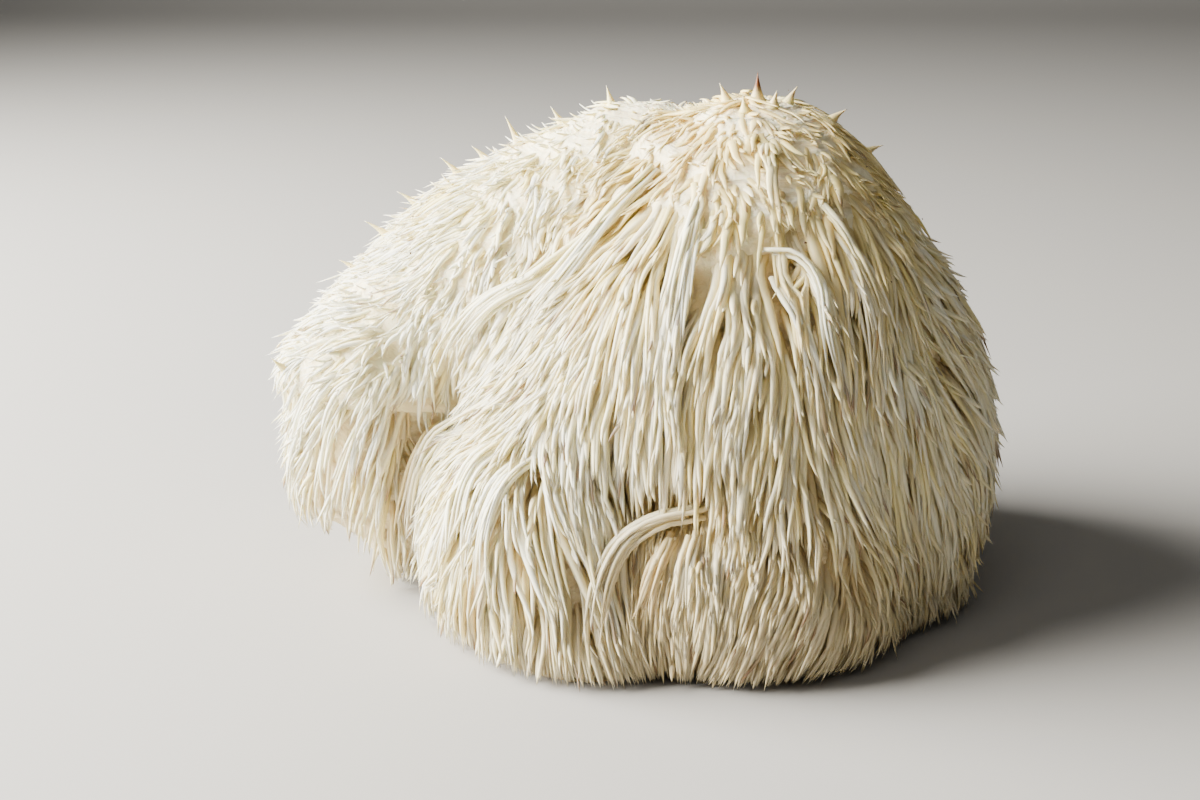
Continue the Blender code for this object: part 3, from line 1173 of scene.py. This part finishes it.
            settle = (1.0 - share) ** 2.5
            bed = self.growth.bed(point, tier) + layer
            depth = start * settle + bed * (1.0 - settle) - (rise + 0.7 * layer) * share**3
            gap = self.skin.distance(point) + depth
            point = point - normal * gap[:, None]
            path.append(point)
            faces.append(normal)
        path = self.growth.part(self._fuse(habit, np.stack(path, axis=1), guide, rng))
        path, faces = self._trim(path, np.stack(faces, axis=1), self._stops(district, roots, rng))
        return *self._rings(path, faces, habit), shared[3]

    def _fuse(self, habit: Habit, path: np.ndarray, guide: np.ndarray,
              rng: np.random.Generator) -> np.ndarray:
        """Draw each spine sideways to its strap's guide at the root and let it go by the tip."""
        along = unit(np.gradient(path, axis=1))
        toward = path[guide] - path
        toward = toward - (toward * along).sum(-1, keepdims=True) * along
        far = np.linalg.norm(toward, axis=-1, keepdims=True)
        toward = toward * np.minimum(1.0, 4.0 * MM / np.maximum(far, 1e-9))
        share = np.linspace(0.0, 1.0, path.shape[1])
        pull = habit.fused * rng.uniform(0.6, 1.1, (len(path), 1)) * (1.0 - share) ** 0.8
        return path + toward * (pull - 0.10 * share)[..., None]

    def _trim(self, path: np.ndarray, faces: np.ndarray,
              stops: np.ndarray) -> tuple[np.ndarray, np.ndarray]:
        """Cut each path where it passes its stop, and space its points evenly again."""
        n, count = path.shape[:2]
        under = path[..., 2] < stops[:, None]
        after = np.where(under.any(axis=1), under.argmax(axis=1), count - 1)
        before = np.maximum(after - 1, 0)
        row = np.arange(n)
        high, low = path[row, before, 2], path[row, after, 2]
        part = np.clip((high - stops) / np.maximum(high - low, 1e-9), 0.0, 1.0)
        last = np.maximum(before + np.where(under.any(axis=1), part, 1.0), 3.0)
        return self._sample(path, faces, np.linspace(0.0, 1.0, count)[None] * last[:, None])

    def _rings(self, path: np.ndarray, faces: np.ndarray,
               habit: Habit) -> tuple[np.ndarray, np.ndarray]:
        """Points for the rings of a tube: as many as the habit asks for, above the ground."""
        spot = np.linspace(0.0, path.shape[1] - 1.0, habit.rings + 1)
        rings, normals = self._sample(path, faces, np.broadcast_to(spot, (len(path), len(spot))))
        rings[..., 2] = np.maximum(rings[..., 2], self.skin.middle[2] + 0.4 * MM)
        return rings, normals

    @staticmethod
    def _sample(path: np.ndarray, faces: np.ndarray,
                spot: np.ndarray) -> tuple[np.ndarray, np.ndarray]:
        """Points and normals of each path at the given places, counted in points."""
        first = np.minimum(spot.astype(int), path.shape[1] - 2)
        part = (spot - first)[..., None]
        row = np.arange(len(path))[:, None]
        points = path[row, first] * (1.0 - part) + path[row, first + 1] * part
        return points, unit(faces[row, first] * (1.0 - part) + faces[row, first + 1] * part)

    def _tubes(self, name: str, habit: Habit, path: np.ndarray, normals: np.ndarray,
               traits: "Traits") -> bpy.types.Object:
        """Carry a flattened round profile along each path and close both ends.

        The profile is an ellipse of the spine's radius, flattened against the skin.  It narrows
        evenly from the root and closes in a tip, with the root of 1 minus share to the power of
        the habit's point.
        """
        n, rings, sides = len(path), habit.rings, habit.sides
        along = unit(np.gradient(path, axis=1))
        across = unit(np.cross(along, normals))
        out = np.cross(across, along)
        share = np.linspace(0.0, 1.0, rings + 1)
        taper = (1.0 - (1.0 - habit.tip) * share) * np.sqrt(1.0 - share**habit.point)
        radius = habit.radius * traits.size[:, None] * taper[None, :-1]
        angle = np.linspace(0.0, math.tau, sides, endpoint=False)
        ring = (np.cos(angle)[:, None] * across[:, :-1, None]
                + habit.flat * np.sin(angle)[:, None] * out[:, :-1, None])
        body = path[:, :-1, None] + radius[..., None, None] * ring
        body[..., 2] = np.maximum(body[..., 2], self.skin.middle[2] + 0.05 * MM)
        each = rings * sides + 1
        points = np.concatenate((body.reshape(n, -1, 3), path[:, -1:]), axis=1).reshape(-1, 3)
        corners, sizes, spots = self._weave(rings, sides)
        shift = (np.arange(n) * each)[:, None]
        heart = path[:, rings // 2]
        # painted shade: the hollows add honey warmth
        warmth = np.clip(traits.warmth + self.growth.hollow(heart)[1]
                         + 0.06 * self.growth.ragged.at(path[:, 0]), 0.0, 1.0)
        # painted shade from the ground and the side away from the window
        shade = np.clip(self.growth.shade(heart), 0.0, 1.0)
        across_map = math.ceil(math.sqrt(n))
        cell = np.stack(np.divmod(np.arange(n), across_map), axis=-1)[:, None, :]
        uv = (cell + 0.10 + 0.80 * spots[None]) / across_map
        run = np.append(np.repeat(share[:-1], sides), 1.0)
        # painted shade: the deeper a point lies under the outline, between the spines, the more gap
        # tan it takes
        deep = ramp(1.2 * MM, 6.5 * MM, -self.skin.distance(points))
        marks = {"tone": np.repeat(traits.tone, each), "warmth": np.repeat(warmth, each),
                 "dryness": np.repeat(traits.dryness, each), "along": np.tile(run, n),
                 "deep": deep, "shade": np.repeat(shade, each)}
        made = MeshMaker.piece(name, points, (corners[None] + shift).ravel(), np.tile(sizes, n),
                               marks, uv.reshape(-1, 2))
        made.data.materials.append(self.finish)
        return made

    @staticmethod
    def _weave(rings: int, sides: int) -> tuple[np.ndarray, np.ndarray, np.ndarray]:
        """Faces of one spine: a cap at the root, rings of quads and a fan at the tip.

        Args:
            rings: rings of points along the spine.
            sides: points in each ring.

        Returns:
            Corner numbers, corners of each face, and the place of each corner on its cell.
        """
        around = np.arange(sides)
        after = (around + 1) % sides
        lift = np.arange(rings - 1)[:, None] * sides
        quads = np.stack((around + lift, after + lift, after + lift + sides,
                          around + lift + sides), axis=-1).reshape(-1, 4)
        low = (rings - 1) * sides
        fan = np.stack((around + low, after + low, np.full(sides, rings * sides)), axis=-1)
        corners = np.concatenate((around[::-1], quads.ravel(), fan.ravel()))
        sizes = np.concatenate(([sides], np.full(len(quads), 4), np.full(sides, 3)))
        left, right = around / sides, (around + 1) / sides
        base = (np.arange(rings - 1) / rings)[:, None]
        up = base + 1.0 / rings
        left_all, right_all = left + 0 * base, right + 0 * base
        walls = np.stack((np.stack((left_all, base + 0 * left), -1),
                          np.stack((right_all, base + 0 * left), -1),
                          np.stack((right_all, up + 0 * left), -1),
                          np.stack((left_all, up + 0 * left), -1)), axis=2).reshape(-1, 2)
        edge = np.full(sides, (rings - 1) / rings)
        cone = np.stack((np.stack((left, edge), -1), np.stack((right, edge), -1),
                         np.stack((0.5 * (left + right), edge + 1.0 / rings), -1)),
                        axis=1).reshape(-1, 2)
        cap = np.stack((left[::-1], np.zeros(sides)), axis=-1)
        return corners, sizes, np.concatenate((cap, walls, cone))


# ---------------------------------------------------------------- the room


@dataclass(frozen=True)
class Light:
    """A soft square light that looks at the mushroom, placed in widths of it."""

    name: str
    seat: Triple
    size: float
    power: float
    tint: Triple


class Studio:
    """Pale floor, soft lights and the camera."""

    LIGHTS = (
        Light("window", (-4.8, 0.15, 2.6), 4.6, 122.0, (1.0, 0.995, 0.97)),
        Light("overhead", (-0.6, -2.2, 4.4), 3.0, 1.2, (1.0, 0.99, 0.96)),
    )
    SKY_STRENGTH = 0.09
    ELEVATION_DEG = 18.0
    LENS_MM = 50.0
    DISTANCE = 2.30         # in widths of the mushroom
    AIM = (-0.055, 0.0, 0.252)
    LIGHT_AIM = (0.0, 0.0, 0.3)
    SENSOR_MM = 36.0
    CLIP_START = 0.01
    SKY_COLOUR = (0.93, 0.95, 0.97, 1.0)
    FLOOR_COLOUR = colour(166, 162, 155)
    FLOOR_ROUGHNESS = 0.8

    def __init__(self, skin: Envelope) -> None:
        """Args:
            skin: outline that gives the size and the middle.
        """
        self.skin = skin

    def floor(self) -> None:
        """A wide pale floor that turns up far behind, in one smooth sheet."""
        half, low = 14.0 * self.skin.width, self.skin.middle[2]
        xs = np.linspace(-half, half, 9)
        run = np.linspace(0.0, 1.0, 49)
        ys = -half + run * 2.2 * half
        zs = 2.5 * half * ramp(0.75, 1.6, run) + low
        points = np.stack((np.broadcast_to(xs, (49, 9)), np.broadcast_to(ys[:, None], (49, 9)),
                           np.broadcast_to(zs[:, None], (49, 9))), axis=-1).reshape(-1, 3)
        first = (np.arange(48)[:, None] * 9 + np.arange(8)).ravel()
        quads = np.stack((first, first + 1, first + 10, first + 9), axis=-1)
        made = MeshMaker.piece("floor", points, quads.ravel(), np.full(len(quads), 4), {})
        sheet = Sheet("floor_paper")
        made.data.materials.append(sheet.surface(Base_Color=self.FLOOR_COLOUR,
                                                 Roughness=self.FLOOR_ROUGHNESS))

    def lights(self) -> None:
        """Soft area lights and a pale sky."""
        aim = self.skin.place(self.LIGHT_AIM)
        for light in self.LIGHTS:
            data = bpy.data.lights.new(light.name, "AREA")
            data.shape = "SQUARE"
            data.size = light.size * self.skin.width
            data.energy = light.power
            data.color = light.tint
            lamp = bpy.data.objects.new(light.name, data)
            lamp.matrix_world = self._looking(self.skin.place(light.seat), aim)
            bpy.context.collection.objects.link(lamp)
        world = bpy.data.worlds.new("studio")
        world.use_nodes = True
        sky = world.node_tree.nodes["Background"]
        sky.inputs["Color"].default_value = self.SKY_COLOUR
        sky.inputs["Strength"].default_value = self.SKY_STRENGTH
        bpy.context.scene.world = world

    def camera(self) -> None:
        """The camera, low in front of the mushroom."""
        rise = math.radians(self.ELEVATION_DEG)
        aim = self.skin.place(self.AIM)
        back = np.array([0.0, -math.cos(rise), math.sin(rise)])
        data = bpy.data.cameras.new("camera")
        data.lens = self.LENS_MM
        data.sensor_width = self.SENSOR_MM
        data.clip_start = self.CLIP_START
        seat = bpy.data.objects.new("camera", data)
        seat.matrix_world = self._looking(aim + back * self.DISTANCE * self.skin.width, aim)
        bpy.context.collection.objects.link(seat)
        bpy.context.scene.camera = seat

    @staticmethod
    def _looking(place: np.ndarray, aim: np.ndarray) -> Matrix:
        """Matrix that sets something at a place and turns its -Z towards the aim."""
        back = unit(place - aim)
        right = unit(np.cross((0.0, 0.0, 1.0), back))
        up = np.cross(back, right)
        turned = np.eye(4)
        turned[:3, 0], turned[:3, 1], turned[:3, 2], turned[:3, 3] = right, up, back, place
        return Matrix(turned.tolist())


def attach(made: bpy.types.Object) -> None:
    """Hang a piece on the body, hide the plain part that it stands in for, and log its triangles."""
    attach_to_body(made, BODY)
    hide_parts(NODE)
    LOG.info("%s: %d triangles", made.name, len(made.data.loops) - 2 * len(made.data.polygons))


def main() -> None:
    """Build the flesh, the spines and the room, in that order."""
    logging.basicConfig(level=logging.INFO, format="%(name)s %(message)s")
    low, high = (np.array(corner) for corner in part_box(NODE))
    middle = np.array([(low[0] + high[0]) / 2, (low[1] + high[1]) / 2, low[2]])
    skin = Envelope(middle, high[0] - low[0], 4.0 * MM)
    growth = Growth(skin, high[2] - low[2])
    flesh = Flesh(growth)
    attach(flesh.piece())
    coat = Coat(growth, flesh)
    for number in range(len(DISTRICTS)):
        attach(coat.piece(number))
    attach(coat.tresses("straps", TRESSES))
    attach(coat.tresses("arched_straps", ARCH))
    attach(coat.horns())
    attach(coat.dust())
    studio = Studio(skin)
    studio.floor()
    studio.lights()
    studio.camera()


if __name__ == "__main__":
    main()
